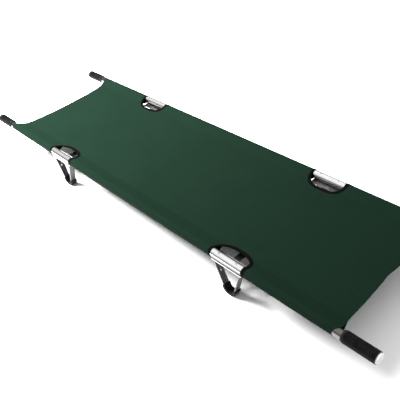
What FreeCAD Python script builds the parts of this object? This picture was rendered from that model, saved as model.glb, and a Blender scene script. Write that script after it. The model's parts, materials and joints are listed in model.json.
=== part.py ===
import FreeCAD, Part
import Sketcher
import math
import os
import re

# A folding stretcher: a canvas bed on two round poles. Four stirrup feet carry the poles, and two jointed
# spreader bars hold them apart. Millimetres, +X along the poles, +Y across, +Z up, z = 0 on the floor.
# It is stored open. "front" is the side at -Y, "left" is the end at -X.
# Each fitting is drawn in the axes of its station: x along the pole from the station's middle, y from the
# pole's axis towards the middle of the stretcher, and z up from the floor.

SIZES = [
    ("overall_length", 2200, "over the end caps"),
    ("pole_spacing", 556, "between the two pole axes"),
    ("axis_height", 152, "pole axis above the floor"),
    ("pole_radius", 16, "outside of the tube"),
    ("pole_wall", 2, "tube wall"),
    ("slip", 0.1, "gap between fitted pieces"),
    ("cap_flange", 6, "end cap outside the tube"),
    ("cap_radius", 18, "end cap flange"),
    ("cap_spigot", 24, "end cap inside the tube"),
    ("grip_length", 108, "hand grip"),
    ("grip_radius", 20.5, "hand grip over its ribs"),
    ("rib_pitch", 7.2, "from one groove of the grip to the next"),
    ("rib_count", 14, "grooves along the grip"),
    ("groove_width", 2.4, "groove of the grip"),
    ("groove_depth", 1.4, "groove of the grip"),
    ("collar_length", 6, "ring at the grip's inner end"),
    ("collar_radius", 19, "ring at the grip's inner end"),
    ("station_x", 520, "feet and spreader bars from the middle"),
    ("saddle_length", 140, "saddle along the pole"),
    ("saddle_wall", 1.5, "saddle sheet"),
    ("saddle_rise", 6, "saddle's lower edges above the pole axis"),
    ("bead_radius", 0.8, "rolled edge of the saddle"),
    ("plate_length", 140, "base plate along the pole"),
    ("plate_thick", 3, "base plate and spreader bracket"),
    ("plate_out", 14, "base plate outboard of the pole axis"),
    ("plate_in", 34, "base plate inboard of the pole axis"),
    ("bracket_half", 13, "half width of the spreader bracket"),
    ("bracket_out", 10, "spreader bracket outboard of the pole axis"),
    ("pivot_in", 78, "spreader pivot inboard of the pole axis"),
    ("strip_width", 25, "stirrup strip across the pole"),
    ("strip_thick", 3.5, "stirrup strip"),
    ("stirrup_top", 59, "half width of the stirrup at the plate"),
    ("stirrup_foot", 18, "half width of the stirrup at the floor"),
    ("stirrup_tab", 33, "inner end of the stirrup's top tab"),
    ("tab_bend", 6, "bend between a leg of the stirrup and its tab"),
    ("foot_bend", 20, "bend between a leg of the stirrup and its foot"),
    ("pad_thick", 3.5, "rubber under the strip"),
    ("pad_width", 30, "rubber across the pole"),
    ("pad_height", 30, "top of the rubber above the floor"),
    ("rivet_radius", 2.5, "rivet shank"),
    ("head_radius", 4.6, "rivet head"),
    ("head_top", 2.8, "flat on a rivet head"),
    ("head_height", 2, "rivet head"),
    ("top_rivet_x", 40, "saddle rivets from the station"),
    ("bracket_rivet_in", 21, "second bracket rivet inboard of the pole axis"),
    ("tab_rivet_x", 44, "stirrup rivets from the station"),
    ("arm_width", 22, "spreader arm"),
    ("arm_thick", 3, "spreader arm"),
    ("pin_radius", 4, "spreader pivots"),
    ("pin_play", 0.06, "radial play of a running pivot"),
    ("pin_head", 8, "head of a spreader pivot"),
    ("arm_tail", 30, "front arm beyond the knuckle"),
    ("lug_thick", 3, "stop lug beside the knuckle"),
    ("canvas_half", 958, "end of the canvas on the pole from the middle"),
    ("canvas_thick", 1.2, "canvas"),
    ("canvas_sag", 5, "middle of the bed below the pole axis"),
    ("hem_dip_left", 34, "hem scallop at the left end"),
    ("hem_dip_right", 13, "hem scallop at the right end"),
    ("seam_in", 52, "seam where the canvas round the pole meets itself, from the pole axis"),
    ("flap_in", 72, "canvas that stays with the pole, from its axis"),
    ("panel_gap", 2, "gap between a panel and its fold line"),
    ("tape_width", 12, "binding tape"),
    ("tape_half", 78, "middle of the tape round the pole, from the station"),
    ("shoulder_in", 22, "place where the tape turns inwards, from the pole axis"),
    ("shoulder_bend", 40, "tape's bend there"),
    ("arch_half", 58, "corner of the arched tape, from the station"),
    ("arch_in", 62, "middle of the arched tape, from the pole axis"),
    ("arch_bend", 28, "tape's bend at that corner"),
]
ENDS = {"left": -1, "right": 1}
SIDES = {"front": -1, "back": 1}

doc = FreeCAD.newDocument("stretcher")
sheet = doc.addObject("Spreadsheet::Sheet", "Sizes")
for row, (alias, value, note) in enumerate(SIZES, start=1):
    sheet.set(f"A{row}", note)
    sheet.set(f"B{row}", str(value))
    sheet.setAlias(f"B{row}", alias)
doc.recompute()

ALIASES = re.compile(r"\b(" + "|".join(alias for alias, value, note in SIZES) + r")\b")
nodes = []


def link(text):
    """The expression with each size named in it read from the spreadsheet."""
    return ALIASES.sub(r"Sizes.\1", text)


def size(alias):
    """The present value of one size in the spreadsheet."""
    return float(sheet.get(alias))


def bind(obj, at=None, **sizes):
    """Tie an object's properties, and its position if one is given, to expressions."""
    for name, text in sizes.items():
        obj.setExpression(name, link(text))
    for axis, text in zip("xyz", at or ()):
        obj.setExpression(f".Placement.Base.{axis}", link(text))
    return obj


def box(label, at, length, width, height):
    """A box from its low corner."""
    return bind(doc.addObject("Part::Box", label), at, Length=length, Width=width, Height=height)


def rod(label, at, radius, height, along="z"):
    """A cylinder from the middle of its low end, along x or z."""
    obj = doc.addObject("Part::Cylinder", label)
    if along == "x":
        obj.Placement.Rotation = FreeCAD.Rotation(FreeCAD.Vector(0, 1, 0), 90)
    return bind(obj, at, Radius=radius, Height=height)


def fuse(label, shapes):
    """One solid from several that touch."""
    obj = doc.addObject("Part::MultiFuse", label)
    obj.Shapes = shapes
    obj.Refine = True
    return obj


def cut(label, base, tools):
    """The base with every tool taken away."""
    obj = doc.addObject("Part::Cut", label)
    obj.Base = base
    obj.Tool = tools[0] if len(tools) == 1 else fuse(label + "_tools", tools)
    return obj


def group(label, shapes):
    """Separate solids that are one node."""
    obj = doc.addObject("Part::Compound", label)
    obj.Links = shapes
    return obj


def shaped(label, shape):
    """A node whose outline no primitive or boolean gives."""
    obj = doc.addObject("Part::Feature", label)
    obj.Shape = shape
    return obj


def node(obj, at=("0", "0", "0"), turned=False):
    """Put a finished piece in its place. Turned faces it the other way about the vertical."""
    if turned:
        obj.Placement.Rotation = FreeCAD.Rotation(FreeCAD.Vector(0, 0, 1), 180)
    nodes.append(bind(obj, at))
    return obj


def station(obj, side, end):
    """Put a fitting at its station on the front or back pole."""
    at = (f"{ENDS[end]} * station_x", f"{SIDES[side]} * pole_spacing / 2", "0")
    return node(obj, at, turned=side == "back")


def track(points, radii, shift):
    """The edges of a line this far to the left of a path. Corners are rounded to their radii on the path."""
    path = [FreeCAD.Vector(x, y, 0) for x, y in points]
    runs = [(b - a).normalize() for a, b in zip(path, path[1:])]
    lefts = [FreeCAD.Vector(-run.y, run.x, 0) for run in runs]
    start = path[0] + lefts[0] * shift
    here = start
    edges = []
    for number, radius in enumerate(radii):
        corner = path[number + 1]
        enter, leave = runs[number], runs[number + 1]
        side = 1 if enter.cross(leave).z > 0 else -1
        reach = radius * math.tan(enter.getAngle(leave) / 2)
        centre = corner - enter * reach + lefts[number] * (side * radius)
        first = corner - enter * reach + lefts[number] * shift
        middle = centre + (corner - centre).normalize() * (radius - side * shift)
        last = corner + leave * reach + lefts[number + 1] * shift
        edges.append(Part.makeLine(here, first))
        edges.append(Part.Arc(first, middle, last).toShape())
        here = last
    end = path[-1] + lefts[-1] * shift
    edges.append(Part.makeLine(here, end))
    return edges, start, end


def closed_face(edges):
    """The flat face inside a ring of edges."""
    return Part.Face(Part.Wire(Part.__sortEdges__(edges)))


def strip_face(points, radii, width):
    """A flat strip of constant width along a path."""
    left, left_start, left_end = track(points, radii, width / 2)
    right, right_start, right_end = track(points, radii, -width / 2)
    tips = [Part.makeLine(left_start, right_start), Part.makeLine(left_end, right_end)]
    return closed_face(left + right + tips)


def upright(face, width):
    """A face drawn in x and z, made as wide as asked across the pole."""
    face = face.copy()
    face.rotate(FreeCAD.Vector(0, 0, 0), FreeCAD.Vector(1, 0, 0), 90)
    face.translate(FreeCAD.Vector(0, width / 2, 0))
    return face.extrude(FreeCAD.Vector(0, -width, 0))


# ---- poles, grips and end caps -----------------------------------------------------------------------

POLE_HALF = "(overall_length / 2 - cap_flange)"


def origin_plane(body, role):
    """One of a body's own origin planes."""
    for feature in body.Origin.OriginFeatures:
        if feature.Role == role:
            return feature
    raise ValueError(role)


def circle_sketch(body, name, plane, circles):
    """A sketch of circles on one of the body's planes. Each is (x, y, radius) in expressions."""
    sketch = body.newObject("Sketcher::SketchObject", name)
    sketch.AttachmentSupport = [(origin_plane(body, plane), "")]
    sketch.MapMode = "FlatFace"
    for x, y, radius in circles:
        middle = FreeCAD.Vector(0, 0, 0)
        index = sketch.addGeometry(Part.Circle(middle, FreeCAD.Vector(0, 0, 1), 1), False)
        for kind, text in (("Radius", radius), ("DistanceX", x), ("DistanceY", y)):
            if kind == "Radius":
                number = sketch.addConstraint(Sketcher.Constraint(kind, index, 1))
            else:
                number = sketch.addConstraint(Sketcher.Constraint(kind, -1, 1, index, 3, 0))
            sketch.setExpression(f"Constraints[{number}]", link(text))
    return sketch


def tube(label, inner, outer, length):
    """A body: a round tube along x, the same on both sides of its origin."""
    body = doc.addObject("PartDesign::Body", label)
    ring = circle_sketch(body, label + "_ring", "YZ_Plane", [("0", "0", outer), ("0", "0", inner)])
    pad = body.newObject("PartDesign::Pad", label + "_length")
    pad.Profile = ring
    pad.Midplane = True
    bind(pad, Length=length)
    return body


def drill(body, name, holes, upward):
    """Holes from the body's XY plane through whatever lies above it, or below it."""
    pocket = body.newObject("PartDesign::Pocket", name)
    pocket.Profile = circle_sketch(body, name + "_circles", "XY_Plane", holes)
    pocket.Type = "ThroughAll"
    pocket.Reversed = upward
    body.Tip = pocket
    return pocket


HOLE = "rivet_radius + slip"
for side, y in SIDES.items():
    pole = tube(f"pole_{side}", "pole_radius - pole_wall", "pole_radius", f"2 * {POLE_HALF}")
    above = []
    below = []
    for end, x in ENDS.items():
        below.append((f"{x} * station_x", "0", HOLE))
        for way in (-1, 1):
            above.append((f"{x} * station_x + {way} * top_rivet_x", "0", HOLE))
            below.append((f"{x} * station_x + {way} * tab_rivet_x", "0", HOLE))
    drill(pole, f"pole_{side}_top_holes", above, upward=True)
    drill(pole, f"pole_{side}_bottom_holes", below, upward=False)
    node(pole, ("0", f"{y} * pole_spacing / 2", "axis_height"))

COLLAR_START = f"{POLE_HALF} - grip_length - collar_length - 2 * slip"
for side, y in SIDES.items():
    collars = []
    for end, x in ENDS.items():
        name = f"{side}_{end}"
        row = (f"{y} * pole_spacing / 2", "axis_height")
        grip = tube(f"grip_{name}", "pole_radius + slip", "grip_radius", "grip_length")
        groove = grip.newObject("PartDesign::Pocket", f"grip_{name}_groove")
        ring = circle_sketch(
            grip,
            f"grip_{name}_groove_ring",
            "YZ_Plane",
            [("0", "0", "grip_radius + 1"), ("0", "0", "grip_radius - groove_depth")],
        )
        ring.setExpression(".AttachmentOffset.Base.z", link("-rib_pitch * (rib_count - 1) / 2"))
        groove.Profile = ring
        groove.Midplane = True
        bind(groove, Length="groove_width")
        pattern = grip.newObject("PartDesign::LinearPattern", f"grip_{name}_grooves")
        pattern.Originals = [groove]
        pattern.Direction = (origin_plane(grip, "X_Axis"), [""])
        pattern.Mode = "Spacing"
        bind(pattern, Offset="rib_pitch", Occurrences="rib_count")
        grip.Tip = pattern
        node(grip, (f"{x} * ({POLE_HALF} - grip_length / 2 - slip)", *row))

        start = COLLAR_START if x > 0 else f"-({COLLAR_START}) - collar_length"
        ring = rod(f"collar_{name}_ring", (start, "0", "0"), "collar_radius", "collar_length", along="x")
        bore = rod(f"collar_{name}_bore", (start, "0", "0"), "pole_radius + slip", "collar_length", along="x")
        collars.append(cut(f"collar_{name}", ring, [bore]))

        zero = ("0", "0", "0")
        flange = rod(f"cap_flange_{name}", zero, "cap_radius", "cap_flange", along="x")
        spigot_radius = "pole_radius - pole_wall - slip"
        spigot_at = ("-cap_spigot", "0", "0")
        spigot = rod(f"cap_spigot_{name}", spigot_at, spigot_radius, "cap_spigot", along="x")
        cap = fuse(f"end_cap_{name}", [flange, spigot])
        node(cap, (f"{x} * {POLE_HALF}", *row), turned=end == "left")
    node(group(f"collars_{side}", collars), ("0", *row))

# ---- feet and saddles at the four stations -----------------------------------------------------------

PLATE_TOP = "(axis_height - pole_radius - slip)"
PLATE_LOW = "(axis_height - pole_radius - slip - plate_thick)"
BRACKET_TOP = "(axis_height - pole_radius - 2 * slip - plate_thick)"
BRACKET_LOW = "(axis_height - pole_radius - 2 * slip - 2 * plate_thick)"
TAB_LOW = "(axis_height - pole_radius - 2 * slip - plate_thick - strip_thick)"
SADDLE_IN = "(pole_radius + slip)"
SADDLE_OUT = "(pole_radius + slip + saddle_wall)"
SADDLE_LOW = "(axis_height + saddle_rise)"


def saddle(label):
    """A cap over the top of the pole, with a rolled edge along each side."""
    start = "-saddle_length / 2"
    long = "saddle_length"
    cap = rod(label + "_round", (start, "0", "axis_height"), SADDLE_OUT, long, along="x")
    bore = rod(label + "_bore", ("-saddle_length", "0", "axis_height"), SADDLE_IN, f"2 * {long}", along="x")
    under_at = ("-saddle_length", f"-2 * {SADDLE_OUT}", "0")
    under = box(label + "_under", under_at, f"2 * {long}", f"4 * {SADDLE_OUT}", SADDLE_LOW)
    sheet_metal = cut(label + "_sheet", cap, [bore, under])
    edge_out = f"({SADDLE_IN} + bead_radius)"
    pieces = [sheet_metal]
    for way, far in ((-1, "out"), (1, "in")):
        bead_at = (start, f"{way} * sqrt({edge_out}^2 - saddle_rise^2)", SADDLE_LOW)
        pieces.append(rod(f"{label}_bead_{far}", bead_at, "bead_radius", long, along="x"))
    tools = []
    for way, tag in ((-1, "a"), (1, "b")):
        top_at = (f"{way} * top_rivet_x", "0", "axis_height")
        tools.append(rod(f"{label}_top_{tag}", top_at, HOLE, "2 * pole_radius"))
    return cut(label, fuse(label + "_whole", pieces), tools)


def base_plate(label):
    """The plate under the pole, riveted to it through the stirrup's tabs and the bracket."""
    at = ("-plate_length / 2", "-plate_out", PLATE_LOW)
    plate = box(label + "_outline", at, "plate_length", "plate_out + plate_in", "plate_thick")
    holes = [("0", "0"), ("0", "bracket_rivet_in"), ("tab_rivet_x", "0"), ("-tab_rivet_x", "0")]
    tools = []
    for number, (x, y) in enumerate(holes, start=1):
        tools.append(rod(f"{label}_hole_{number}", (x, y, "0"), HOLE, "axis_height"))
    return cut(label, plate, tools)


def spreader_bracket(label):
    """A tongue under the base plate that carries the spreader's pivot on its rounded end."""
    at = ("-bracket_half", "-bracket_out", BRACKET_LOW)
    tongue = box(label + "_tongue", at, "2 * bracket_half", "bracket_out + pivot_in", "plate_thick")
    nose = rod(label + "_nose", ("0", "pivot_in", BRACKET_LOW), "bracket_half", "plate_thick")
    tools = [
        rod(label + "_pivot", ("0", "pivot_in", "0"), "pin_radius + slip", "axis_height"),
        rod(label + "_hole_1", ("0", "0", "0"), HOLE, "axis_height"),
        rod(label + "_hole_2", ("0", "bracket_rivet_in", "0"), HOLE, "axis_height"),
    ]
    return cut(label, fuse(label + "_outline", [tongue, nose]), tools)


def stirrup_path():
    """The stirrup's middle line in x and z, from tab to tab, and its bend radii."""
    low = size("pad_thick") + size("strip_thick") / 2
    high = size("axis_height") - size("pole_radius") - 2 * size("slip") - size("plate_thick")
    high -= size("strip_thick") / 2
    half = [(size("stirrup_tab"), high), (size("stirrup_top"), high), (size("stirrup_foot"), low)]
    bends = [size("tab_bend"), size("foot_bend")]
    return [(-x, z) for x, z in half] + half[::-1], bends + bends[::-1]


def stirrup(label):
    """A flat strip bent to a rounded V, its tabs turned in under the base plate."""
    points, radii = stirrup_path()
    shape = upright(strip_face(points, radii, size("strip_thick")), size("strip_width"))
    for way in (-1, 1):
        foot = FreeCAD.Vector(way * size("tab_rivet_x"), 0, size("pad_height"))
        hole = size("rivet_radius") + size("slip")
        shape = shape.cut(Part.makeCylinder(hole, size("axis_height"), foot))
    return shaped(label, shape)


def foot_pad(label):
    """A rubber boot round the bottom bend of the stirrup."""
    points, radii = stirrup_path()
    (x_low, z_low), (x_top, z_top) = points[3], points[4]
    height = size("pad_height")
    x_end = x_low + (x_top - x_low) * (height - z_low) / (z_top - z_low)
    boot_path = [(-x_end, height), (-x_low, z_low), (x_low, z_low), (x_end, height)]
    thick = size("strip_thick") + 2 * size("pad_thick")
    boot = upright(strip_face(boot_path, radii[1:3], thick), size("pad_width"))
    gap = 2 * size("slip")
    channel = upright(strip_face(points, radii, size("strip_thick") + gap), size("strip_width") + gap)
    return shaped(label, boot.cut(channel))


def rivet(label, x, y, low, high, head_up=True, head_down=True):
    """One rivet from low to high, with a chamfered head at each end that is asked for."""
    shapes = [rod(label + "_shank", (x, y, low), "rivet_radius", f"{high} - {low}")]
    for wanted, tag, base, turn in ((head_up, "up", high, 0), (head_down, "down", low, 180)):
        if wanted:
            head = doc.addObject("Part::Cone", f"{label}_{tag}")
            head.Placement.Rotation = FreeCAD.Rotation(FreeCAD.Vector(1, 0, 0), turn)
            sizes = {"Radius1": "head_radius", "Radius2": "head_top", "Height": "head_height"}
            shapes.append(bind(head, (x, y, base), **sizes))
    return fuse(label, shapes)


def pivot_pin(label, y, low, high):
    """A spreader pivot from low to high with a flat head at each end."""
    shank = rod(label + "_shank", ("0", y, low), "pin_radius", f"({high}) - ({low})")
    head = rod(label + "_head", ("0", y, high), "pin_head", "head_height")
    tail = rod(label + "_tail", ("0", y, f"({low}) - head_height"), "pin_head", "head_height")
    return fuse(label, [shank, head, tail])


ARM_LOW = f"({BRACKET_TOP} + slip)"
ARM_HIGH = f"({BRACKET_TOP} + slip + arm_thick)"
UPPER_LOW = f"({BRACKET_TOP} + 2 * slip + arm_thick)"
UPPER_HIGH = f"({BRACKET_TOP} + 2 * slip + 2 * arm_thick)"
POLE_INSIDE = "(axis_height - pole_radius + 3 * pole_wall)"

for side, y in SIDES.items():
    saddle_rivets = []
    stirrup_rivets = []
    bracket_rivets = []
    for end, x in ENDS.items():
        name = f"{side}_{end}"
        station(saddle(f"saddle_{name}"), side, end)
        station(base_plate(f"base_plate_{name}"), side, end)
        station(spreader_bracket(f"spreader_bracket_{name}"), side, end)
        station(stirrup(f"stirrup_{name}"), side, end)
        station(foot_pad(f"foot_pad_{name}"), side, end)
        arm_top = ARM_HIGH if side == "front" else UPPER_HIGH
        pin = pivot_pin(f"pivot_pin_{name}", "pivot_in", f"{BRACKET_LOW} - slip", f"{arm_top} + slip")
        station(pin, side, end)
        middle = f"{x} * station_x"
        label = f"bracket_rivet_{name}"
        low = f"({BRACKET_LOW} - slip)"
        inboard = f"{-y} * bracket_rivet_in"
        bracket_rivets.append(rivet(label + "_pole", middle, "0", low, POLE_INSIDE, head_up=False))
        bracket_rivets.append(rivet(label + "_plate", middle, inboard, low, f"({PLATE_TOP} + slip)"))
        for way, tag in ((-1, "a"), (1, "b")):
            at = f"{middle} + {way} * top_rivet_x"
            low, high = "(axis_height + pole_radius - 3 * pole_wall)", f"(axis_height + {SADDLE_OUT})"
            saddle_rivets.append(rivet(f"saddle_rivet_{name}_{tag}", at, "0", low, high, head_down=False))
            at = f"{middle} + {way} * tab_rivet_x"
            low = f"({TAB_LOW} - slip)"
            stirrup_rivets.append(rivet(f"tab_rivet_{name}_{tag}", at, "0", low, POLE_INSIDE, head_up=False))
    row = ("0", f"{y} * pole_spacing / 2", "0")
    node(group(f"saddle_rivets_{side}", saddle_rivets), row)
    node(group(f"stirrup_rivets_{side}", stirrup_rivets), row)
    node(group(f"bracket_rivets_{side}", bracket_rivets), row)

# ---- spreader bars -----------------------------------------------------------------------------------

REACH = "(pole_spacing / 2 - pivot_in)"


def arm(label, low, way, tail):
    """One half of a spreader bar, from its pivot to the knuckle. Way is the side its stop lug is on."""
    half = "arm_width / 2"
    length = f"{REACH} + arm_tail" if tail else REACH
    pieces = [box(label + "_bar", (f"-{half}", "0", low), "arm_width", length, "arm_thick")]
    pieces.append(rod(label + "_pivot_end", ("0", "0", low), half, "arm_thick"))
    if tail:
        ear_long = f"{half} + slip + lug_thick"
        ear_x = "0" if way > 0 else f"-({ear_long})"
        lug_x = f"{half} + slip" if way > 0 else ear_x
        lug_y = f"{REACH} + arm_tail / 2"
        pieces.append(box(label + "_ear", (ear_x, lug_y, low), ear_long, "arm_tail / 2", "arm_thick"))
        lug_high = "2 * arm_thick + slip"
        pieces.append(box(label + "_lug", (lug_x, lug_y, low), "lug_thick", "arm_tail / 2", lug_high))
    else:
        pieces.append(rod(label + "_knuckle_end", ("0", REACH, low), half, "arm_thick"))
    knuckle_hole = "pin_radius + slip" if tail else "pin_radius + pin_play"
    tools = [
        rod(label + "_pivot_hole", ("0", "0", "0"), "pin_radius + pin_play", "axis_height"),
        rod(label + "_knuckle_hole", ("0", REACH, "0"), knuckle_hole, "axis_height"),
    ]
    return cut(label, fuse(label + "_outline", pieces), tools)


spacers = []
for end, x in ENDS.items():
    middle = f"{x} * station_x"
    node(arm(f"arm_front_{end}", ARM_LOW, -x, tail=True), (middle, f"-{REACH}", "0"))
    node(arm(f"arm_back_{end}", UPPER_LOW, x, tail=False), (middle, REACH, "0"), turned=True)
    pin = pivot_pin(f"knuckle_pin_{end}", "0", f"{ARM_LOW} - slip", f"{UPPER_HIGH} + slip")
    node(pin, (middle, "0", "0"))
    ring = rod(f"spacer_{end}_ring", (middle, "0", ARM_LOW), "pin_head", "arm_thick")
    hole = rod(f"spacer_{end}_hole", (middle, "0", "0"), "pin_radius + slip", "axis_height")
    spacers.append(cut(f"spacer_{end}", ring, [hole]))
node(group("spacers", spacers), ("0", REACH, "0"))

# ---- canvas ------------------------------------------------------------------------------------------

SPACING_HALF = "(pole_spacing / 2)"
PANEL_OUT = f"({SPACING_HALF} - pivot_in - panel_gap)"
# How much of each hem's scallop is reached at the seam, at the flap's edge, and at each line across a panel.
SEAM_SHARES = (0.6, 0.05)
FLAP_SHARES = (0.75, 0.15)
PANEL_LINES = [
    (PANEL_OUT, (0.8, 0.2)),
    (f"({PANEL_OUT} * 0.68)", (0.92, 0.55)),
    (f"({PANEL_OUT} * 0.36)", (0.99, 0.85)),
    ("(panel_gap / 2)", (1.0, 1.0)),
]


def slab(label, low_y, low_x, low_z, high_y, high_x, high_z):
    """A flat-sided block between two lines along x. Each has its y, its two ends in x and its two in z."""
    obj = doc.addObject("Part::Wedge", label)
    return bind(
        obj,
        Ymin=low_y,
        Xmin=low_x[0],
        Xmax=low_x[1],
        Zmin=low_z[0],
        Zmax=low_z[1],
        Ymax=high_y,
        X2min=high_x[0],
        X2max=high_x[1],
        Z2min=high_z[0],
        Z2max=high_z[1],
    )


def hem_ends(shares):
    """The canvas's two ends in x where these shares of the scallops are reached."""
    left, right = shares
    return (f"-canvas_half + {left} * hem_dip_left", f"canvas_half - {right} * hem_dip_right")


def mirrored(ends):
    """Two ends in x, seen from the other side of the stretcher."""
    return (f"-({ends[1]})", f"-({ends[0]})")


def about_axis(half):
    """Two places in z, evenly above and below the pole's axis."""
    return (f"axis_height - {half}", f"axis_height + {half}")


def drop_shape(label, radius, at_pole, at_seam):
    """A round rod, and from it two flat sides that come together inboard. Both take their ends in x."""
    turn = "pole_radius + slip + canvas_thick"
    leave = f"sqrt(1 - (({turn}) / seam_in)^2)"
    long = f"{at_pole[1]} - ({at_pole[0]})"
    core = rod(label + "_round", (at_pole[0], "0", "axis_height"), radius, long, along="x")
    tip_y = f"({radius}) * seam_in / ({turn})"
    side_y = f"({radius}) * ({turn}) / seam_in"
    side_z = about_axis(f"({radius}) * {leave}")
    tip_z = about_axis("canvas_thick / 2")
    return fuse(label, [core, slab(label + "_sides", side_y, at_pole, side_z, tip_y, at_seam, tip_z)])


def sewn_round(label, at_pole, at_seam, at_edge):
    """Canvas round a pole, sewn to itself at the seam, with the flap beyond it."""
    outside = drop_shape(label + "_outside", "pole_radius + slip + canvas_thick", at_pole, at_seam)
    flat = about_axis("canvas_thick / 2")
    flap = slab(label + "_flap", "seam_in - 3 * canvas_thick", at_seam, flat, "flap_in", at_edge, flat)
    beyond = ("-overall_length", "overall_length")
    inside = drop_shape(label + "_inside", "pole_radius + slip", beyond, beyond)
    hollow = cut(label + "_hollow", outside, [inside])
    return fuse(label + "_sewn", [hollow, flap])


def tape_path():
    """The middle line of the tape round a cut-out, from outboard of the pole, over it, and back."""
    outboard = -2 * size("pole_radius")
    half = [
        (size("tape_half"), outboard),
        (size("tape_half"), size("shoulder_in")),
        (size("arch_half"), size("arch_in")),
    ]
    bends = [size("shoulder_bend"), size("arch_bend")]
    return [(-x, y) for x, y in half] + half[::-1], bends + bends[::-1]


def tall(face):
    """A face drawn in x and y, made taller than the stretcher."""
    return face.extrude(FreeCAD.Vector(0, 0, 2 * size("axis_height")))


def window(label):
    """The opening in the canvas that a binding fills."""
    edges, start, end = track(*tape_path(), size("tape_width") / 2 + size("slip"))
    return shaped(label, tall(closed_face(edges + [Part.makeLine(start, end)])))


def canvas_sleeve(label, turned):
    """The canvas sewn round a pole, with its two cut-outs."""
    lines = [("-canvas_half", "canvas_half"), hem_ends(SEAM_SHARES), hem_ends(FLAP_SHARES)]
    if turned:
        lines = [mirrored(ends) for ends in lines]
    tools = [bind(window(f"{label}_window_{end}"), (f"{x} * station_x", "0", "0")) for end, x in ENDS.items()]
    return cut(label, sewn_round(label, *lines), tools)


def canvas_panel(label, way):
    """Half of the bed, from beside its fold line at the pole to beside the fold in the middle."""
    lines = []
    for out, shares in PANEL_LINES:
        top = f"axis_height + canvas_thick / 2 - canvas_sag * (1 - ({out})^2 / {SPACING_HALF}^2)"
        lines.append((f"{way} * {out}", hem_ends(shares), (f"{top} - canvas_thick", top)))
    if way > 0:
        lines.reverse()
    pieces = []
    for number, (low, high) in enumerate(zip(lines, lines[1:]), start=1):
        pieces.append(slab(f"{label}_{number}", *low, *high))
    return fuse(label, pieces)


def binding(label):
    """Tape round a cut-out: over the bed in an arch, and round the pole at both ends of it."""
    ends = ("-2 * tape_half", "2 * tape_half")
    obj = doc.addObject("Part::Common", label)
    obj.Base = sewn_round(label, ends, ends, ends)
    obj.Tool = shaped(label + "_strip", tall(strip_face(*tape_path(), size("tape_width"))))
    return obj


for side, y in SIDES.items():
    back = side == "back"
    node(canvas_sleeve(f"canvas_sleeve_{side}", back), ("0", f"{y} * {SPACING_HALF}", "0"), turned=back)
    node(canvas_panel(f"canvas_panel_{side}", y))
    for end in ENDS:
        station(binding(f"binding_{side}_{end}"), side, end)

# ---- check and write ---------------------------------------------------------------------------------

doc.recompute()
for obj in doc.Objects:
    if "Invalid" in obj.State or "Error" in obj.State:
        raise RuntimeError(f"{obj.Label} did not build: {obj.State}")
os.makedirs("parts", exist_ok=True)
for obj in nodes:
    shape = obj.Shape
    if shape.isNull() or not shape.isValid() or not shape.Solids:
        raise RuntimeError(f"{obj.Label} is not a valid solid")
    shape.exportStep(f"parts/{obj.Label}.step")
    print(obj.Label, len(shape.Solids), "solids", round(shape.Volume), "mm3")
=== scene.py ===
"""A folding stretcher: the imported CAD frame, with canvas, bindings and finishes added. Metres, +Z up."""

import json
import math

import bmesh
import bpy
from mathutils import Matrix, Vector, noise


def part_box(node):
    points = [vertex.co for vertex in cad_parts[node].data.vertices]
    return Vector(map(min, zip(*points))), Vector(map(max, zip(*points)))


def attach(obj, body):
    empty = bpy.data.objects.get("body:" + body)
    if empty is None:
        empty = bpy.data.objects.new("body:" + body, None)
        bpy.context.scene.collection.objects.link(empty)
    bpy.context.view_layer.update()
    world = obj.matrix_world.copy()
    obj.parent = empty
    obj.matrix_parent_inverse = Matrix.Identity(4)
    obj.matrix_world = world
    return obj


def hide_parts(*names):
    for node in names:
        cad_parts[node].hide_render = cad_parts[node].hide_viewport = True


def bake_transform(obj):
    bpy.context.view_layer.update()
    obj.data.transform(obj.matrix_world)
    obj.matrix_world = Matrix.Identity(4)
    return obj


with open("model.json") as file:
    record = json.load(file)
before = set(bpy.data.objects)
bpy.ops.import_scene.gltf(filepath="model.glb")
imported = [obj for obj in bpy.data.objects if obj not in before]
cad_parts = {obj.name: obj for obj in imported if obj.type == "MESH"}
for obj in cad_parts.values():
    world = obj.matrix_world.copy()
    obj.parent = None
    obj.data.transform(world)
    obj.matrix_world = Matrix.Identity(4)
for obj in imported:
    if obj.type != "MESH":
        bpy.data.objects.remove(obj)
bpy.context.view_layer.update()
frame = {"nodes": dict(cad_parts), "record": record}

MM = 0.001
SIDES = {"front": -1, "back": 1}
ENDS = {"left": -1, "right": 1}

# ---- places taken from the frame ----------------------------------------------------------------------

pole_low, pole_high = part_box("pole_back")
POLE_R = (pole_high[2] - pole_low[2]) / 2
AXIS_Z = (pole_high[2] + pole_low[2]) / 2
AXIS_Y = (pole_high[1] + pole_low[1]) / 2
saddle_low, saddle_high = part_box("saddle_back_right")
STATION_X = (saddle_low[0] + saddle_high[0]) / 2
sleeve_low, sleeve_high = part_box("canvas_sleeve_back")
CANVAS_END = sleeve_high[0]
bed_low, bed_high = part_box("canvas_panel_back")

# ---- the cloth's own sizes ----------------------------------------------------------------------------

CLOTH = 1.2 * MM
CLOTH_R = POLE_R + 0.1 * MM + CLOTH / 2
SAG = AXIS_Z - (bed_low[2] + CLOTH / 2)
# The seam's place inboard of the pole's axis, how soft the bend there is, and the lap beyond it.
SEAM_IN = 52 * MM
SEAM_SOFT = 8 * MM
LAP = 12 * MM
# How far the lower layer lies under the bed at the seam, and how far the hem hangs off the pole.
UNDERLAP = 1.3 * CLOTH
LOOSE = 6 * MM
# The turned-under edge at each end, and the room it leaves at the middle fold.
HEM_WIDTH = 24 * MM
FOLD_ROOM = 26 * MM
# How far each end's hem is drawn in at its middle, and how far from the end that is felt.
LEFT_DIP = 34 * MM
RIGHT_DIP = 13 * MM
HEM_REACH = 230 * MM
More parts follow.
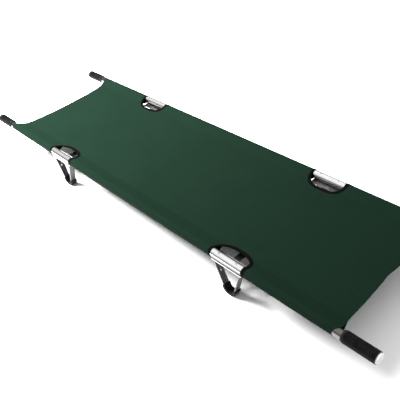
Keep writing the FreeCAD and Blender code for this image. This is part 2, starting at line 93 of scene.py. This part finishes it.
# The corner that the right hem makes beside the pole, and the step down from it.
EAR = 8 * MM
EAR_FALL = 7 * MM
# A cut-out: half its length, its depth, and the power of its rounded outline.
CUT_HALF = 72 * MM
CUT_DEEP = 60 * MM
CUT_POWER = 2.8
# Grid points in the first range are moved onto the outline. Faces below the second are cut away.
CUT_SNAP = (0.93, 1.035)
CUT_KEEP = 0.985
# The binding tape, folded.
TAPE = 12 * MM
TAPE_THICK = 1.0 * MM
# Steps between grid points.
GRID = 6 * MM
WRAP_GRID = 5.5 * MM
TAPE_GRID = 3.2 * MM


def end_name(end):
    """left or right."""
    return "left" if end < 0 else "right"


def smooth(t):
    """0 below 0, 1 above 1, and an even ramp between."""
    t = min(1.0, max(0.0, t))
    return t * t * (3 - 2 * t)


# ---- the cloth's surface ------------------------------------------------------------------------------
# A point of the cloth is (x, s). x runs along the pole. s is the way along the cloth from the top of the
# pole: positive over the bed to the middle, negative round the outside of the pole and back under the bed.

LEAVE = math.acos(CLOTH_R / SEAM_IN)
STRAIGHT = math.sqrt(SEAM_IN**2 - CLOTH_R**2)
OVER = (math.pi / 2 - LEAVE) * CLOTH_R
WRAP = (3 * math.pi / 2 - LEAVE) * CLOTH_R
SEAM_S = OVER + STRAIGHT
S_LOW = -(WRAP + STRAIGHT + LAP)
S_HIGH = SEAM_S + AXIS_Y - SEAM_IN


def bed_height(inboard):
    """The bed's middle surface above the pole's axis, this far inboard of it."""
    return -SAG * (1 - ((AXIS_Y - inboard) / (AXIS_Y - SEAM_IN)) ** 2)


def top_layer(s):
    """The cloth from the top of the pole to the middle: round it, straight to the seam, then the bed."""
    if s < OVER:
        angle = math.pi / 2 - s / CLOTH_R
        return CLOTH_R * math.cos(angle), CLOTH_R * math.sin(angle)
    if s < SEAM_S:
        t = (SEAM_S - s) / STRAIGHT
        from_seam = CLOTH_R * math.cos(LEAVE) - SEAM_IN
        return SEAM_IN + from_seam * t, CLOTH_R * math.sin(LEAVE) * t
    inboard = SEAM_IN + s - SEAM_S
    return inboard, bed_height(inboard)


def softened(s):
    """The top layer with its bend at the seam rounded off."""
    t = (s - SEAM_S + SEAM_SOFT) / (2 * SEAM_SOFT)
    if not 0 < t < 1:
        return top_layer(s)
    before, corner, after = (top_layer(SEAM_S + k * SEAM_SOFT) for k in (-1, 0, 1))
    shares = ((1 - t) ** 2, 2 * t * (1 - t), t**2)
    points = (before, corner, after)
    return tuple(sum(share * point[k] for share, point in zip(shares, points)) for k in (0, 1))


def looseness(x):
    """How far the hem hangs off the pole's underside: nothing at its ends, most between the feet."""
    reach = abs(x)
    inner = STATION_X - CUT_HALF
    if reach < inner:
        return LOOSE * smooth((inner - reach) / (260 * MM))
    outer = STATION_X + CUT_HALF
    room = min(reach - outer, CANVAS_END - reach)
    return 0.35 * LOOSE * smooth(room / (90 * MM))


def section(x, s):
    """Where (x, s) is, as the distance inboard of the pole's axis and the height above it."""
    if s >= 0:
        return softened(s)
    way = -s
    loose = looseness(x)
    if way < WRAP:
        angle = math.pi / 2 + way / CLOTH_R
        hang = loose * max(0.0, -math.sin(angle)) ** 1.5
        return CLOTH_R * math.cos(angle), CLOTH_R * math.sin(angle) - hang
    if way < WRAP + STRAIGHT:
        t = (way - WRAP) / STRAIGHT
        inboard = CLOTH_R * math.cos(LEAVE) * (1 - t) + SEAM_IN * t
        low = -CLOTH_R * math.sin(LEAVE) - loose * math.sin(LEAVE) ** 1.5
        return inboard, low * (1 - t) - UNDERLAP * t
    inboard = SEAM_IN + way - WRAP - STRAIGHT
    return inboard, bed_height(inboard) - UNDERLAP


def hem_shift(s, end):
    """How far the hem is moved along x at this place across the cloth."""
    inboard = section(0, s)[0]
    if end < 0:
        return LEFT_DIP * (1 - math.exp(-max(0.0, inboard + 12 * MM) / (46 * MM)))
    ear = EAR * (2 * smooth((inboard + 20 * MM) / (34 * MM)) - 1)
    fall = EAR_FALL * smooth((inboard - 15 * MM) / (45 * MM))
    return ear - fall - RIGHT_DIP * (inboard / AXIS_Y) ** 2


def hem_end(s, end):
    """The hem's x at this place across the cloth."""
    return end * CANVAS_END + hem_shift(s, end)


def along(u, s):
    """The cloth's x for a grid line u: straight over the middle, following each hem near the ends."""
    far = CANVAS_END - HEM_REACH
    if u < -far:
        return u + hem_shift(s, -1) * smooth((-far - u) / (CANVAS_END - far))
    if u > far:
        return u + hem_shift(s, 1) * smooth((u - far) / (CANVAS_END - far))
    return u


def wrinkle(height, x, s, seed):
    """A smooth rise or dip of about this height. x and s come scaled to its size."""
    return height * noise.noise(Vector((x, s, seed)))


def close_to(distance, width):
    """1 on a line, falling off evenly to both sides of it."""
    return math.exp(-((distance / width) ** 2))


def cut_pull(x, s, end):
    """Creases that run out from a cut-out, like rays."""
    across, deep = x - end * STATION_X, s - 20 * MM
    rays = math.sin(9 * math.atan2(deep, across) + 1.7 * end)
    return 0.35 * MM * rays * close_to(math.hypot(across, deep) - 95 * MM, 60 * MM)


def hem_flutter(x, s, end):
    """Waves in the hem, gone a hand's width in from it."""
    away = abs(x - hem_end(s, end))
    return wrinkle(1.1 * MM, s * 26, end * 3.0, 0.2) * math.exp(-away / (50 * MM))


def ripple(x, s):
    """The height of creases and slack in the cloth, calm at the middle fold and on the pole."""
    if s < 0:
        return wrinkle(0.35 * MM, x * 60, s * 25, 5.0) * smooth(-s / (20 * MM))
    calm = smooth(s / (30 * MM)) * smooth((AXIS_Y - s) / (90 * MM))
    creases = wrinkle(1.0 * MM, x * 3.1, s * 5.0, 1.3) + wrinkle(0.5 * MM, x * 11, s * 6, 7.7)
    for end in ENDS.values():
        creases += cut_pull(x, s, end) + hem_flutter(x, s, end)
    seam = wrinkle(0.45 * MM, x * 95, 2.0, 0.4) * close_to(s - SEAM_S, 9 * MM)
    return calm * creases + seam


def cloth_point(x, s, lift=0.0):
    """(x, inboard, height) of the cloth, lifted off its middle surface along its normal."""
    step = 0.5 * MM
    before, after = section(x, s - step), section(x, s + step)
    run, rise = after[0] - before[0], after[1] - before[1]
    length = math.hypot(run, rise)
    inboard, height = section(x, s)
    lift += ripple(x, s)
    return x, inboard - lift * rise / length, height + lift * run / length


def placed(side, point):
    """A cloth point as x, y and z, on the front or the back half."""
    x, inboard, height = point
    return Vector((x, SIDES[side] * (AXIS_Y - inboard), AXIS_Z + height))


def cut_size(x, s):
    """1 on a cut-out's outline, less inside it."""
    across = (abs(x) - STATION_X) / CUT_HALF
    deep = max(0.0, s) / CUT_DEEP
    return (abs(across) ** CUT_POWER + deep**CUT_POWER) ** (1 / CUT_POWER)


def on_cut_edge(x, s):
    """The same place, moved onto a cut-out's outline if it is close to one."""
    size = cut_size(x, s)
    if not CUT_SNAP[0] < size < CUT_SNAP[1]:
        return x, s
    middle = math.copysign(STATION_X, x)
    return middle + (x - middle) / size, s / size if s > 0 else s


# ---- building meshes ----------------------------------------------------------------------------------


def mesh_object(name, points, faces, uvs=None):
    """A smooth mesh object. uvs holds one pair for each point, in metres of cloth."""
    mesh = bpy.data.meshes.new(name)
    mesh.from_pydata([tuple(p) for p in points], [], faces)
    mesh.validate()
    for polygon in mesh.polygons:
        polygon.use_smooth = True
    if uvs:
        layer = mesh.uv_layers.new(name="cloth")
        for loop in mesh.loops:
            layer.data[loop.index].uv = uvs[loop.vertex_index]
    obj = bpy.data.objects.new(name, mesh)
    bpy.context.scene.collection.objects.link(obj)
    return obj


def grid_faces(rows, columns, closed=False):
    """Quads over a grid of points listed row by row. Closed joins each row's last point to its first."""
    faces = []
    last = columns if closed else columns - 1
    for i in range(rows - 1):
        for j in range(last):
            k = (j + 1) % columns
            faces.append((i * columns + j, i * columns + k, (i + 1) * columns + k, (i + 1) * columns + j))
    return faces


def spread(low, high, step):
    """Even steps from low to high, both included."""
    count = max(1, round((high - low) / step))
    return [low + (high - low) * i / count for i in range(count + 1)]


def thicken(obj, thickness, offset=0.0):
    """Give a sheet its thickness."""
    modifier = obj.modifiers.new("thickness", "SOLIDIFY")
    modifier.thickness = thickness
    modifier.offset = offset
    done = obj.evaluated_get(bpy.context.evaluated_depsgraph_get())
    mesh = bpy.data.meshes.new_from_object(done)
    obj.modifiers.clear()
    obj.data = mesh
    mesh.set_sharp_from_angle(angle=math.radians(50))


def blend_to_bed(obj):
    """Bake the piece's place into its points."""
    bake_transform(obj)


def half_bed(side):
    """One half of the canvas: the hem round the pole, the bed to the middle fold, and the cut-outs."""
    wrap_rows = spread(S_LOW, 0, WRAP_GRID)
    bed_rows = spread(0, S_HIGH, GRID)[1:]
    lines = spread(-CANVAS_END, CANVAS_END, GRID)
    places = [(along(u, s), s) for s in wrap_rows + bed_rows for u in lines]
    outline = []
    for x, s in places:
        outline.append(on_cut_edge(x, s))
    rows, columns = len(wrap_rows) + len(bed_rows), len(lines)
    faces = []
    for face in grid_faces(rows, columns):
        x = sum(places[i][0] for i in face) / 4
        s = sum(places[i][1] for i in face) / 4
        if cut_size(x, s) >= CUT_KEEP:
            faces.append(face if side == "back" else face[::-1])
    points = [placed(side, cloth_point(x, s)) for x, s in outline]
    obj = mesh_object(f"canvas_{side}", points, faces, outline)
    clean(obj)
    thicken(obj, CLOTH)
    return obj


def clean(obj):
    """Drop points that no face uses."""
    shape = bmesh.new()
    shape.from_mesh(obj.data)
    loose = [v for v in shape.verts if not v.link_faces]
    bmesh.ops.delete(shape, geom=loose, context="VERTS")
    shape.to_mesh(obj.data)
    shape.free()


def hem_strip(side, end):
    """The turned-under edge of the canvas at one end of one half."""
    lines = spread(0, HEM_WIDTH, 4 * MM)
    rows = spread(SEAM_IN, S_HIGH - FOLD_ROOM, GRID)
    places = [(hem_end(s, end) - end * (w + 0.4 * MM), s) for s in rows for w in lines]
    points = [placed(side, cloth_point(x, s, lift=-1.25 * CLOTH)) for x, s in places]
    faces = grid_faces(len(rows), len(lines))
    obj = mesh_object(f"hem_{side}_{end_name(end)}", points, faces, places)
    thicken(obj, 0.9 * CLOTH)
    return obj


def cut_outline(end):
    """The cut-out's edge as (x, s), from the lap under the bed, over the pole, round and back."""
    middle = end * STATION_X
    wrap = spread(S_LOW, 0, 4 * MM)
    path = [(middle - CUT_HALF, s) for s in wrap]
    steps = 64
    for i in range(1, steps):
        angle = math.pi * (1 - i / steps)
        c, s = math.cos(angle), math.sin(angle)
        across = math.copysign(abs(c) ** (2 / CUT_POWER), c)
        path.append((middle + CUT_HALF * across, CUT_DEEP * s ** (2 / CUT_POWER)))
    path += [(middle + CUT_HALF, s) for s in reversed(wrap)]
    return even_path(path, TAPE_GRID)


def even_path(path, step):
    """The same path with its points an even step apart."""
    lengths = [0.0]
    for a, b in zip(path, path[1:]):
        lengths.append(lengths[-1] + math.dist(a, b))
    result = []
    k = 0
    for want in spread(0, lengths[-1], step):
        while k < len(path) - 2 and lengths[k + 1] < want:
            k += 1
        t = (want - lengths[k]) / (lengths[k + 1] - lengths[k])
        result.append(tuple(a + (b - a) * t for a, b in zip(path[k], path[k + 1])))
    return result


def tape_profile(under):
    """The folded tape across its length, as (way onto the cloth, lift). Under is its lower layer's lift."""
    out = CLOTH / 2 + 0.1 * MM
    top = out + TAPE_THICK
    lip = -TAPE_THICK
    return [
        (TAPE, out),
        (TAPE + 0.3 * MM, (out + top) / 2),
        (TAPE - 0.3 * MM, top - 0.05 * MM),
        (TAPE * 0.72, top + 0.12 * MM),
        (TAPE * 0.4, top + 0.22 * MM),
        (TAPE * 0.12, top + 0.1 * MM),
        (lip * 0.6, out + 0.35 * TAPE_THICK),
        (lip, 0.0),
        (lip * 0.6, under * 0.75),
        (TAPE * 0.12, under),
        (TAPE * 0.5, under),
        (TAPE * 0.85, under),
        (TAPE * 0.85, under + 0.4 * TAPE_THICK),
        (TAPE * 0.5, under + 0.4 * TAPE_THICK),
        (0.4 * MM, 0.0),
    ]


def tape_points(side, end, path):
    """The tape's points and their cloth coordinates, one profile at each point of the cut-out's edge."""
    points, uvs = [], []
    walked = 0.0
    for i, (x, s) in enumerate(path):
        before, after = path[max(0, i - 1)], path[min(len(path) - 1, i + 1)]
        dx, ds = after[0] - before[0], after[1] - before[1]
        size = math.hypot(dx, ds)
        out_x, out_s = -ds / size, dx / size
        off_pole = smooth(max(s - OVER, -s - WRAP) / (14 * MM))
        under = -(CLOTH / 2 + (0.1 * MM + TAPE_THICK) * off_pole)
        uneven = noise.noise(Vector((walked * 40, end, 0)))
        pucker = 0.25 * MM * math.sin(walked / (5.5 * MM) * 2 * math.pi) * uneven
        for way, lift in tape_profile(under):
            at = (x + out_x * way, s + out_s * way)
            if lift > 0:
                points.append(placed(side, cloth_point(*at, lift=lift + pucker)))
                uvs.append((walked, way))
            else:
                points.append(placed(side, cloth_point(*at, lift=lift)))
                uvs.append((walked, way + 20 * MM))
        if i + 1 < len(path):
            walked += math.dist(path[i], path[i + 1])
    return points, uvs


def binding(side, end):
    """Black tape folded over the cut-out's edge and sewn down, one piece all the way round."""
    path = cut_outline(end)
    points, uvs = tape_points(side, end, path)
    count = len(tape_profile(0.0))
    faces = grid_faces(len(path), count, closed=True)
    faces.append(tuple(range(count))[::-1])
    faces.append(tuple(range((len(path) - 1) * count, len(path) * count)))
    if side == "back":
        faces = [face[::-1] for face in faces]
    return mesh_object(f"binding_tape_{side}_{end_name(end)}", points, faces, uvs)


# ---- materials ----------------------------------------------------------------------------------------


class Paint:
    """A material's nodes, built up from small steps."""

    def __init__(self, name):
        self.material = bpy.data.materials.new(name)
        self.material.use_nodes = True
        self.tree = self.material.node_tree
        self.shader = self.tree.nodes["Principled BSDF"]

    def node(self, kind, inputs=None, **settings):
        """A node with its settings and inputs. An input is a value or another node's output."""
        made = self.tree.nodes.new(kind)
        for key, value in settings.items():
            setattr(made, key, value)
        for key, value in (inputs or {}).items():
            self.give(made.inputs[key], value)
        return made

    def give(self, socket, value):
        """Set an input to a value, or link an output to it."""
        if isinstance(value, bpy.types.NodeSocket):
            self.tree.links.new(value, socket)
        else:
            socket.default_value = value

    def set(self, **inputs):
        """Set the shader's inputs. Underscores stand for spaces."""
        for key, value in inputs.items():
            self.give(self.shader.inputs[key.replace("_", " ")], value)

    def where(self, cloth=False):
        """The piece's own coordinates in metres, or its cloth's."""
        source = self.node("ShaderNodeTexCoord")
        return source.outputs["UV" if cloth else "Object"]

    def scaled(self, vector, scale):
        """The coordinates times a scale for each axis."""
        return self.node("ShaderNodeVectorMath", {0: vector, 1: scale}, operation="MULTIPLY").outputs[0]

    def noise(self, vector, scale, detail=4.0, rough=0.55):
        """Soft noise from 0 to 1."""
        inputs = {"Vector": vector, "Scale": scale, "Detail": detail, "Roughness": rough}
        return self.node("ShaderNodeTexNoise", inputs).outputs["Fac"]

    def math(self, operation, a, b=0.0, c=0.0):
        """One arithmetic step."""
        return self.node("ShaderNodeMath", {0: a, 1: b, 2: c}, operation=operation).outputs[0]

    def ramp(self, value, low, high, to_low=0.0, to_high=1.0):
        """A value between low and high, stretched to another range and kept in it."""
        inputs = {"Value": value, "From Min": low, "From Max": high, "To Min": to_low, "To Max": to_high}
        return self.node("ShaderNodeMapRange", inputs).outputs["Result"]

    def mix(self, share, a, b, blend="MIX"):
        """Two colours mixed."""
        made = self.node("ShaderNodeMix", data_type="RGBA", blend_type=blend)
        self.give(made.inputs[0], share)
        self.give(made.inputs[6], a)
        self.give(made.inputs[7], b)
        return made.outputs[2]

    def bump(self, height, strength, distance):
        """A bump from a height."""
        inputs = {"Height": height, "Strength": strength, "Distance": distance}
        return self.node("ShaderNodeBump", inputs).outputs["Normal"]

    def axis(self, vector, name):
        """One coordinate."""
        return self.node("ShaderNodeSeparateXYZ", {0: vector}).outputs[name]

    def edges(self):
        """Sharp edges, 0 to 1, where wear shows."""
        pointed = self.node("ShaderNodeNewGeometry").outputs["Pointiness"]
        return self.ramp(pointed, 0.51, 0.58)


def grey(value, warm=0.0):
    """A grey, a little warm or cool."""
    return (value * (1 + warm), value, value * (1 - warm), 1)


def metal(name, base, rough, grain=(6, 900, 900), streak=0.12, wear=0.0, tint=0.0, scratch=0.1):
    """Metal with grain along x, cloudy roughness and fine scratches."""
    paint = Paint(name)
    place = paint.where()
    lines = paint.noise(paint.scaled(place, grain), 1.0, detail=6)
    cloud = paint.noise(place, 38.0)
    spots = paint.noise(paint.scaled(place, (160, 160, 160)), 1.0, detail=8, rough=0.7)
    dull = paint.math("MULTIPLY", paint.ramp(spots, 0.6, 0.75), scratch)
    colour = paint.mix(paint.ramp(cloud, 0.35, 0.7), grey(base * 0.9, tint), grey(base, tint))
    colour = paint.mix(paint.math("MULTIPLY", dull, 2.0), colour, grey(base * 0.55, tint))
    if wear:
        colour = paint.mix(paint.math("MULTIPLY", paint.edges(), wear), colour, grey(min(0.8, base * 3)))
    roughness = paint.math("ADD", paint.ramp(lines, 0.3, 0.7, rough - streak / 2, rough + streak), dull)
    paint.set(Base_Color=colour, Metallic=1.0, Roughness=roughness)
    paint.set(Normal=paint.bump(lines, 0.25, 0.00003))
    return paint.material


def rubber(name, base, rough=0.6, dust=0.12):
    """Moulded rubber: fine grain, scuffed lighter where it stands proud."""
    paint = Paint(name)
    place = paint.where()
    grain = paint.noise(place, 2400.0, detail=3)
    cloud = paint.noise(place, 45.0)
    scuff = paint.math("MULTIPLY", paint.edges(), paint.ramp(cloud, 0.4, 0.65, 0.0, dust * 2))
    colour = paint.mix(paint.ramp(cloud, 0.3, 0.75, 0.0, dust), grey(base), grey(base * 2.6, 0.02))
    colour = paint.mix(scuff, colour, grey(0.02))
    paint.set(Base_Color=colour, Roughness=paint.ramp(cloud, 0.3, 0.7, rough - 0.08, rough + 0.1))
    paint.set(Specular_IOR_Level=0.08)
    paint.set(Normal=paint.bump(grain, 0.35, 0.00008))
    return paint.material


def canvas_paint():
    """Green coated canvas: a plain weave, uneven dye, twin stitch lines along the hems, with painted shade
    in their grooves.
    """
    paint = Paint("canvas")
    place = paint.where(cloth=True)
    x, s = paint.axis(place, "X"), paint.axis(place, "Y")
    pitch = 2 * math.pi / (0.9 * MM)
    warp = paint.math("SINE", paint.math("MULTIPLY", x, pitch))
    weft = paint.math("SINE", paint.math("MULTIPLY", s, pitch))
    weave = paint.math("MULTIPLY", warp, weft)
    slub_x = paint.noise(paint.scaled(place, (30, 1400, 1)), 1.0, detail=2)
    slub_s = paint.noise(paint.scaled(place, (1400, 30, 1)), 1.0, detail=2)
    slubs = paint.math("ADD", slub_x, slub_s)
    cloud = paint.noise(place, 4.5, detail=5)
    mottle = paint.noise(place, 60.0, detail=6, rough=0.7)
    colour = paint.mix(paint.ramp(cloud, 0.3, 0.7), GREEN_DARK, GREEN)
    colour = paint.mix(paint.ramp(mottle, 0.35, 0.75, 0.0, 0.35), colour, GREEN_PALE)
    colour = paint.mix(paint.ramp(slubs, 0.8, 1.3, 0.0, 0.25), colour, GREEN_PALE)
    stitch, seam_groove_and_shade = stitch_lines(paint, x, s)
    # Painted shade: the stitch grooves are darkened as if in shadow.
    colour = paint.mix(seam_groove_and_shade, colour, GREEN_PAINTED_SHADE)
    colour = paint.mix(stitch, colour, GREEN_THREAD)
    height = paint.math("ADD", paint.math("MULTIPLY", weave, 0.25), slubs)
    height = paint.math("SUBTRACT", height, paint.math("MULTIPLY", seam_groove_and_shade, 2.0))
    height = paint.math("ADD", height, paint.math("MULTIPLY", stitch, 2.4))
    paint.set(Base_Color=colour, Roughness=paint.ramp(mottle, 0.3, 0.7, 0.52, 0.68))
    paint.set(Specular_IOR_Level=0.01)
    paint.set(Normal=paint.bump(height, 0.5, 0.00012))
    return paint.material


def stitch_lines(paint, x, s):
    """Two rows of stitches along the pole seams. Gives the threads, and the groove that they lie in, used
    both as a hollow in the bump and as a mask of painted shade.
    """
    threads, groove_mask_and_shade = None, None
    dash = paint.math("SINE", paint.math("MULTIPLY", x, 2 * math.pi / (3.4 * MM)))
    on = paint.ramp(dash, -0.5, -0.2)
    for line in (SEAM_S - 4 * MM, SEAM_S + 2 * MM):
        off = paint.math("ABSOLUTE", paint.math("SUBTRACT", s, line))
        thread = paint.math("MULTIPLY", paint.ramp(off, 0.35 * MM, 0.6 * MM, 1.0, 0.0), on)
        # The groove's hollow for the bump, also the mask of painted shade.
        hollow_and_shade = paint.ramp(off, 0.5 * MM, 1.5 * MM, 0.6, 0.0)
        threads = thread if threads is None else paint.math("MAXIMUM", threads, thread)
        groove_mask_and_shade = hollow_and_shade if groove_mask_and_shade is None else paint.math("MAXIMUM", groove_mask_and_shade, hollow_and_shade)
    return threads, groove_mask_and_shade


def tape_paint():
    """Black woven tape: fine ribs across, and a row of stitches near its free edge."""
    paint = Paint("binding_tape")
    place = paint.where(cloth=True)
    x, s = paint.axis(place, "X"), paint.axis(place, "Y")
    ribs = paint.math("SINE", paint.math("MULTIPLY", x, 2 * math.pi / (0.8 * MM)))
    fuzz = paint.noise(paint.scaled(place, (600, 2500, 1)), 1.0, detail=4)
    off = paint.math("ABSOLUTE", paint.math("SUBTRACT", s, TAPE * 0.8))
    dash = paint.ramp(paint.math("SINE", paint.math("MULTIPLY", x, 2 * math.pi / (3.0 * MM))), -0.4, -0.1)
    thread = paint.math("MULTIPLY", paint.ramp(off, 0.3 * MM, 0.55 * MM, 1.0, 0.0), dash)
    colour = paint.mix(paint.ramp(fuzz, 0.3, 0.75), grey(0.0008), grey(0.0022))
    colour = paint.mix(thread, colour, grey(0.0055))
    height = paint.math("ADD", paint.math("MULTIPLY", ribs, 0.5), fuzz)
    height = paint.math("ADD", height, paint.math("MULTIPLY", thread, 2.0))
    paint.set(Base_Color=colour, Roughness=0.7, Specular_IOR_Level=0.04)
    paint.set(Normal=paint.bump(height, 0.5, 0.00012))
    return paint.material


GREEN = (0.0039, 0.0101, 0.0063, 1)
GREEN_DARK = (0.0033, 0.0088, 0.0055, 1)
GREEN_PALE = (0.0054, 0.0132, 0.0085, 1)
# A darker green, painted as shade in the stitch grooves.
GREEN_PAINTED_SHADE = (0.0015, 0.0048, 0.0029, 1)
GREEN_THREAD = (0.0054, 0.0154, 0.0092, 1)

FINISHES = {
    "pole": metal("pole", 0.17, 0.24, tint=0.04),
    "collar": rubber("collar", 0.012, rough=0.42),
    "grip": rubber("grip", 0.0025, rough=0.6),
    "end_cap": rubber("end_cap", 0.62, rough=0.4),
    "saddle": metal("saddle", 0.94, 0.12, streak=0.06, scratch=0.05),
    "plate": metal("plate", 0.58, 0.30, grain=(60, 60, 60), wear=0.3),
    "stirrup": metal("stirrup", 0.10, 0.34, grain=(90, 90, 30), wear=0.15, scratch=0.15),
    "foot_pad": rubber("foot_pad", 0.005, rough=0.65, dust=0.15),
    "pin": metal("pin", 0.62, 0.28, grain=(90, 90, 90), wear=0.3),
    "rivet": metal("rivet", 0.60, 0.30, grain=(90, 90, 90), wear=0.3),
    "arm": metal("arm", 0.035, 0.42, grain=(500, 12, 500), wear=0.3),
    "canvas": canvas_paint(),
    "binding": tape_paint(),
}


def finish(obj, slot):
    """Give a piece the material of a slot."""
    obj.data.materials.clear()
    obj.data.materials.append(FINISHES[slot])


def soften(obj, width):
    """Break the sharp edges of a CAD piece, and shade it smooth between them."""
    bevel = obj.modifiers.new("edges", "BEVEL")
    bevel.width = width
    bevel.segments = 2
    bevel.limit_method = "ANGLE"
    bevel.angle_limit = math.radians(35)
    bevel.harden_normals = True


for part in frame["record"]["subparts"]:
    name, slot_name = part["node"], part["material_slot"]
    obj = frame["nodes"][name]
    finish(obj, slot_name)
    if slot_name not in ("canvas", "binding"):
        for polygon in obj.data.polygons:
            polygon.use_smooth = True
        soften(obj, 0.35 * MM)

# ---- the soft pieces ----------------------------------------------------------------------------------

for side in SIDES:
    canvas = half_bed(side)
    finish(canvas, "canvas")
    blend_to_bed(canvas)
    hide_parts(f"canvas_sleeve_{side}", f"canvas_panel_{side}")
    for end in ENDS.values():
        hem = hem_strip(side, end)
        finish(hem, "canvas")
        blend_to_bed(hem)
        tape = binding(side, end)
        finish(tape, "binding")
        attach(tape, f"rail_{side}")
        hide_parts(f"binding_{side}_{end_name(end)}")

# ---- floor, light and camera --------------------------------------------------------------------------


def floor():
    """A wide pale floor."""
    paint = Paint("floor")
    place = paint.where()
    colour = paint.mix(paint.noise(place, 3.0), grey(0.93), grey(0.95))
    paint.set(Base_Color=colour, Roughness=0.9)
    size = 14.0
    points = [(-size, -size, 0), (size, -size, 0), (size, size, 0), (-size, size, 0)]
    obj = mesh_object("floor", points, [(0, 1, 2, 3)])
    obj.data.materials.append(paint.material)


def area_light(name, place, aim, size, power):
    """A soft rectangular light pointed at a place. Metal doesn't mirror it."""
    data = bpy.data.lights.new(name, "AREA")
    data.shape = "RECTANGLE"
    data.size, data.size_y = size
    data.energy = power
    obj = bpy.data.objects.new(name, data)
    obj.location = place
    obj.rotation_euler = (Vector(aim) - Vector(place)).to_track_quat("-Z", "Y").to_euler()
    obj.visible_glossy = False
    bpy.context.scene.collection.objects.link(obj)


def sky(strength):
    """White light from above and a dark band along the horizon, which draws lines on the round metal.

    The camera sees the band pale, like the floor.
    """
    world = bpy.data.worlds.new("studio")
    world.use_nodes = True
    tree = world.node_tree
    direction = tree.nodes.new("ShaderNodeTexCoord").outputs["Generated"]
    parts = tree.nodes.new("ShaderNodeSeparateXYZ")
    tree.links.new(direction, parts.inputs[0])
    level = tree.nodes.new("ShaderNodeMapRange")
    tree.links.new(parts.outputs["Z"], level.inputs["Value"])
    for name, value in {"From Min": 0.12, "From Max": 0.75, "To Min": 0.05, "To Max": strength}.items():
        level.inputs[name].default_value = value
    seen = tree.nodes.new("ShaderNodeLightPath").outputs["Is Camera Ray"]
    backdrop = tree.nodes.new("ShaderNodeMath")
    backdrop.operation = "MULTIPLY_ADD"
    tree.links.new(seen, backdrop.inputs[0])
    backdrop.inputs[1].default_value = 0.7
    tree.links.new(level.outputs["Result"], backdrop.inputs[2])
    background = tree.nodes["Background"]
    tree.links.new(backdrop.outputs[0], background.inputs["Strength"])
    background.inputs["Color"].default_value = (1, 1, 1, 1)
    bpy.context.scene.world = world


def camera(aim, azimuth, elevation, roll, distance, lens):
    """A camera that looks at a place from an azimuth, where 0 looks along +Y, and an elevation."""
    data = bpy.data.cameras.new("camera")
    data.lens = lens
    data.sensor_width = 36
    data.clip_end = 100
    obj = bpy.data.objects.new("camera", data)
    turn, tilt = math.radians(azimuth), math.radians(elevation)
    view = Vector((-math.sin(turn) * math.cos(tilt), math.cos(turn) * math.cos(tilt), -math.sin(tilt)))
    place = Vector(aim) - view * distance
    level = view.to_track_quat("-Z", "Y").to_matrix().to_4x4()
    obj.matrix_world = Matrix.Translation(place) @ level @ Matrix.Rotation(math.radians(roll), 4, "Z")
    bpy.context.scene.collection.objects.link(obj)
    bpy.context.scene.camera = obj


floor()
sky(1.05)
area_light("window", (-1.4, -0.65, 1.9), (-1.25, 0.0, 0.15), (1.3, 1.3), 420)
bpy.context.scene.view_settings.view_transform = "Standard"
camera(aim=(0.2028, -0.1092, 0.150), azimuth=52.64, elevation=38.42, roll=-9.48, distance=2.1845, lens=51.41)
